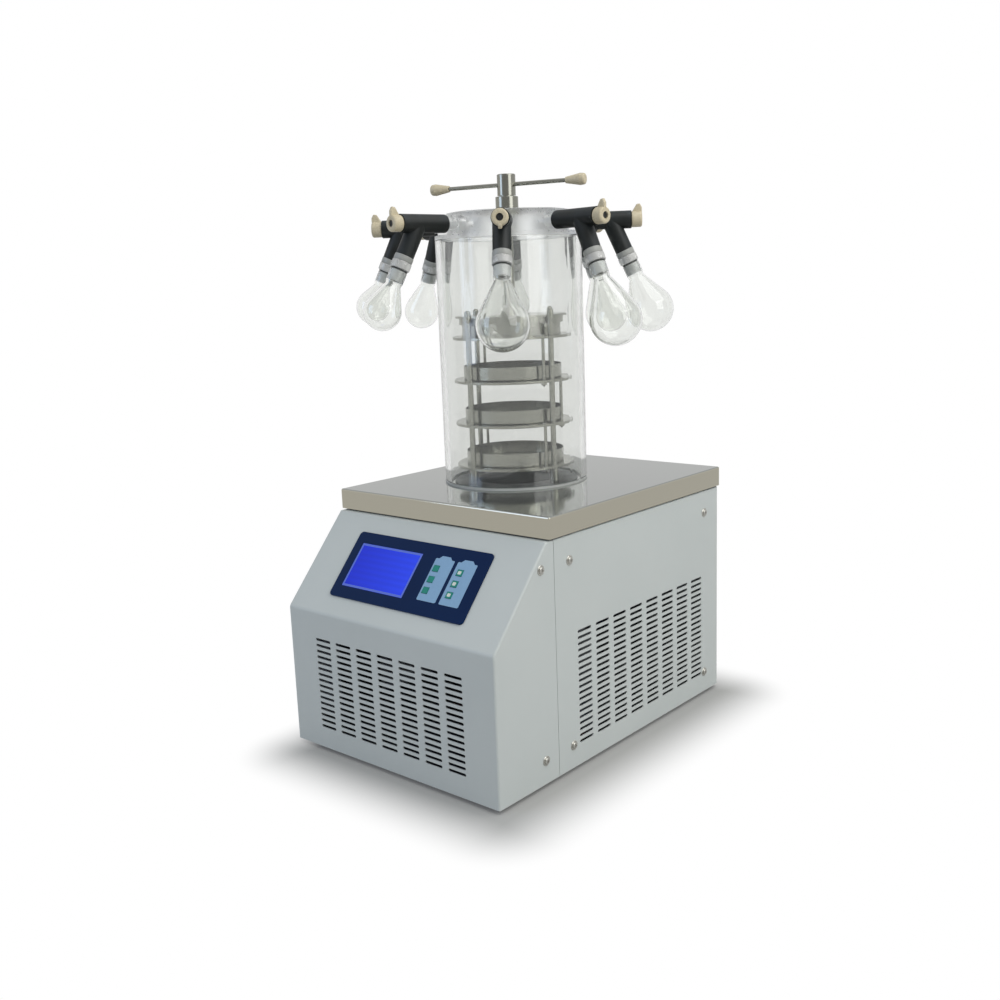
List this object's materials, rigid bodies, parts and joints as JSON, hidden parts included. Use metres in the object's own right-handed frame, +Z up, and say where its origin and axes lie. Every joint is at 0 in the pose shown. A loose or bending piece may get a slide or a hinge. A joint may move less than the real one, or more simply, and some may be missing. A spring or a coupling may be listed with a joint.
{
  "type": "freeze dryer",
  "caption": "Bench freeze dryer: sheet metal cabinet with sloping control panel, clear drying chamber, shelf press rack and a ring of flask ports.",
  "frame": {"origin": "centre of the cabinet's footprint, on the surface the feet stand on", "axes": "+X to the right seen from the front, +Y to the back, +Z up along the chamber axis"},
  "size_m": [0.4972, 0.592, 0.8273],
  "materials": {
    "galvanised_steel": "dull zinc",
    "foot_rubber": "matt",
    "cover_paint": "satin powder coat",
    "stainless_sheet": "finely brushed",
    "stainless": "turned and brushed",
    "panel_film": "satin printed film",
    "display": "gloss window",
    "key_silicone": "satin",
    "foam": "matt cellular",
    "gasket_silicone": "satin translucent",
    "acrylic": "clear, polished",
    "handle_plastic": "satin",
    "valve_rubber": "satin",
    "adaptor_plastic": "satin translucent",
    "flask_glass": "clear",
    "compressor_enamel": "gloss enamel",
    "condenser_aluminium": "mill finish",
    "black_plastic": "satin moulded"
  },
  "bodies": {
    "cabinet": {"chassis": "galvanised_steel", "feet": "foot_rubber", "front_cover": "cover_paint", "right_side_panel": "cover_paint", "left_side_panel": "cover_paint", "rear_panel": "cover_paint", "top_deck": "stainless_sheet", "cover_screws": "stainless", "spindle_gland": "stainless", "rack_base": "stainless", "guide_posts": "stainless", "rack_yoke": "stainless", "shelf_4": "stainless", "tray_4": "stainless", "cold_trap": "stainless", "vacuum_port": "stainless", "control_panel": "panel_film", "display_module": "display", "trap_insulation": "foam", "base_gasket": "gasket_silicone", "chamber_tube": "acrylic", "manifold_head": "acrylic", "port_valves": "valve_rubber", "flask_adaptors": "adaptor_plastic", "flask_1": "flask_glass", "flask_2": "flask_glass", "flask_3": "flask_glass", "flask_4": "flask_glass", "flask_5": "flask_glass", "flask_6": "flask_glass", "flask_7": "flask_glass", "flask_8": "flask_glass", "compressor": "compressor_enamel", "condenser": "condenser_aluminium", "fan_shroud": "galvanised_steel", "power_inlet": "black_plastic"},
    "handle": {"handle_hub": "stainless", "bar_grips": "handle_plastic"},
    "press": {"press_spindle": "stainless", "shelf_1": "stainless"},
    "second_stage": {"shelf_2": "stainless", "tray_2": "stainless"},
    "third_stage": {"shelf_3": "stainless", "tray_3": "stainless"},
    "fan": {"fan_rotor": "black_plastic"},
    "rocker": {"power_rocker": "black_plastic"},
    "knob_1": {"valve_knob_1": "handle_plastic"},
    "knob_2": {"valve_knob_2": "handle_plastic"},
    "knob_3": {"valve_knob_3": "handle_plastic"},
    "knob_4": {"valve_knob_4": "handle_plastic"},
    "knob_5": {"valve_knob_5": "handle_plastic"},
    "knob_6": {"valve_knob_6": "handle_plastic"},
    "knob_7": {"valve_knob_7": "handle_plastic"},
    "knob_8": {"valve_knob_8": "handle_plastic"},
    "button_1": {"key_1": "key_silicone"},
    "button_2": {"key_2": "key_silicone"},
    "button_3": {"key_3": "key_silicone"},
    "button_4": {"key_4": "key_silicone"},
    "button_5": {"key_5": "key_silicone"},
    "button_6": {"key_6": "key_silicone"}
  },
  "joints": [
    {"name": "handle_turn", "type": "hinge", "parent": "cabinet", "child": "handle", "pos_m": [-0.023, 0.044, 0.81], "axis": [0, 0, -1], "range_deg": [0, 1440]},
    {"name": "press_slide", "type": "slide", "parent": "cabinet", "child": "press", "axis": [0, 0, -1], "range_m": [0, 0.016]},
    {"name": "second_stage_lift", "type": "slide", "parent": "press", "child": "second_stage", "axis": [0, 0, 1], "range_m": [0, 0.025]},
    {"name": "third_stage_lift", "type": "slide", "parent": "second_stage", "child": "third_stage", "axis": [0, 0, 1], "range_m": [0, 0.025]},
    {"name": "knob_1_turn", "type": "hinge", "parent": "cabinet", "child": "knob_1", "pos_m": [0.08773, -0.10295, 0.755], "axis": [0.6018, -0.7986, 0], "range_deg": [0, 180]},
    {"name": "knob_2_turn", "type": "hinge", "parent": "cabinet", "child": "knob_2", "pos_m": [0.15921, 0.01839, 0.755], "axis": [0.9903, -0.1392, 0], "range_deg": [0, 180]},
    {"name": "knob_3_turn", "type": "hinge", "parent": "cabinet", "child": "knob_3", "pos_m": [0.12395, 0.15473, 0.755], "axis": [0.7986, 0.6018, 0], "range_deg": [0, 180]},
    {"name": "knob_4_turn", "type": "hinge", "parent": "cabinet", "child": "knob_4", "pos_m": [0.00261, 0.22621, 0.755], "axis": [0.1392, 0.9903, 0], "range_deg": [0, 180]},
    {"name": "knob_5_turn", "type": "hinge", "parent": "cabinet", "child": "knob_5", "pos_m": [-0.13373, 0.19095, 0.755], "axis": [-0.6018, 0.7986, 0], "range_deg": [0, 180]},
    {"name": "knob_6_turn", "type": "hinge", "parent": "cabinet", "child": "knob_6", "pos_m": [-0.21709, 0.07128, 0.755], "axis": [-0.9903, 0.1392, 0], "range_deg": [0, 180]},
    {"name": "knob_7_turn", "type": "hinge", "parent": "cabinet", "child": "knob_7", "pos_m": [-0.17394, -0.06974, 0.755], "axis": [-0.7986, -0.6018, 0], "range_deg": [0, 180]},
    {"name": "knob_8_turn", "type": "hinge", "parent": "cabinet", "child": "knob_8", "pos_m": [-0.05083, -0.15405, 0.755], "axis": [-0.1392, -0.9903, 0], "range_deg": [0, 180]},
    {"name": "button_1_press", "type": "slide", "parent": "cabinet", "child": "button_1", "axis": [0, 0.7445, -0.6676], "range_m": [0, 0.0006], "stiffness_N_per_m": 400, "springref_m": -0.001},
    {"name": "button_2_press", "type": "slide", "parent": "cabinet", "child": "button_2", "axis": [0, 0.7445, -0.6676], "range_m": [0, 0.0006], "stiffness_N_per_m": 400, "springref_m": -0.001},
    {"name": "button_3_press", "type": "slide", "parent": "cabinet", "child": "button_3", "axis": [0, 0.7445, -0.6676], "range_m": [0, 0.0006], "stiffness_N_per_m": 400, "springref_m": -0.001},
    {"name": "button_4_press", "type": "slide", "parent": "cabinet", "child": "button_4", "axis": [0, 0.7445, -0.6676], "range_m": [0, 0.0006], "stiffness_N_per_m": 400, "springref_m": -0.001},
    {"name": "button_5_press", "type": "slide", "parent": "cabinet", "child": "button_5", "axis": [0, 0.7445, -0.6676], "range_m": [0, 0.0006], "stiffness_N_per_m": 400, "springref_m": -0.001},
    {"name": "button_6_press", "type": "slide", "parent": "cabinet", "child": "button_6", "axis": [0, 0.7445, -0.6676], "range_m": [0, 0.0006], "stiffness_N_per_m": 400, "springref_m": -0.001},
    {"name": "fan_spin", "type": "hinge", "parent": "cabinet", "child": "fan", "pos_m": [0.14, 0.061, 0.097], "axis": [-1, 0, 0], "continuous": true},
    {"name": "rocker_tilt", "type": "hinge", "parent": "cabinet", "child": "rocker", "pos_m": [0.13, 0.2785, 0.083], "axis": [1, 0, 0], "range_deg": [0, 16]}
  ],
  "couplings": [
    {"joint": "press_slide", "follows": "handle_turn", "m_per_rad": 0.0006366}
  ]
}
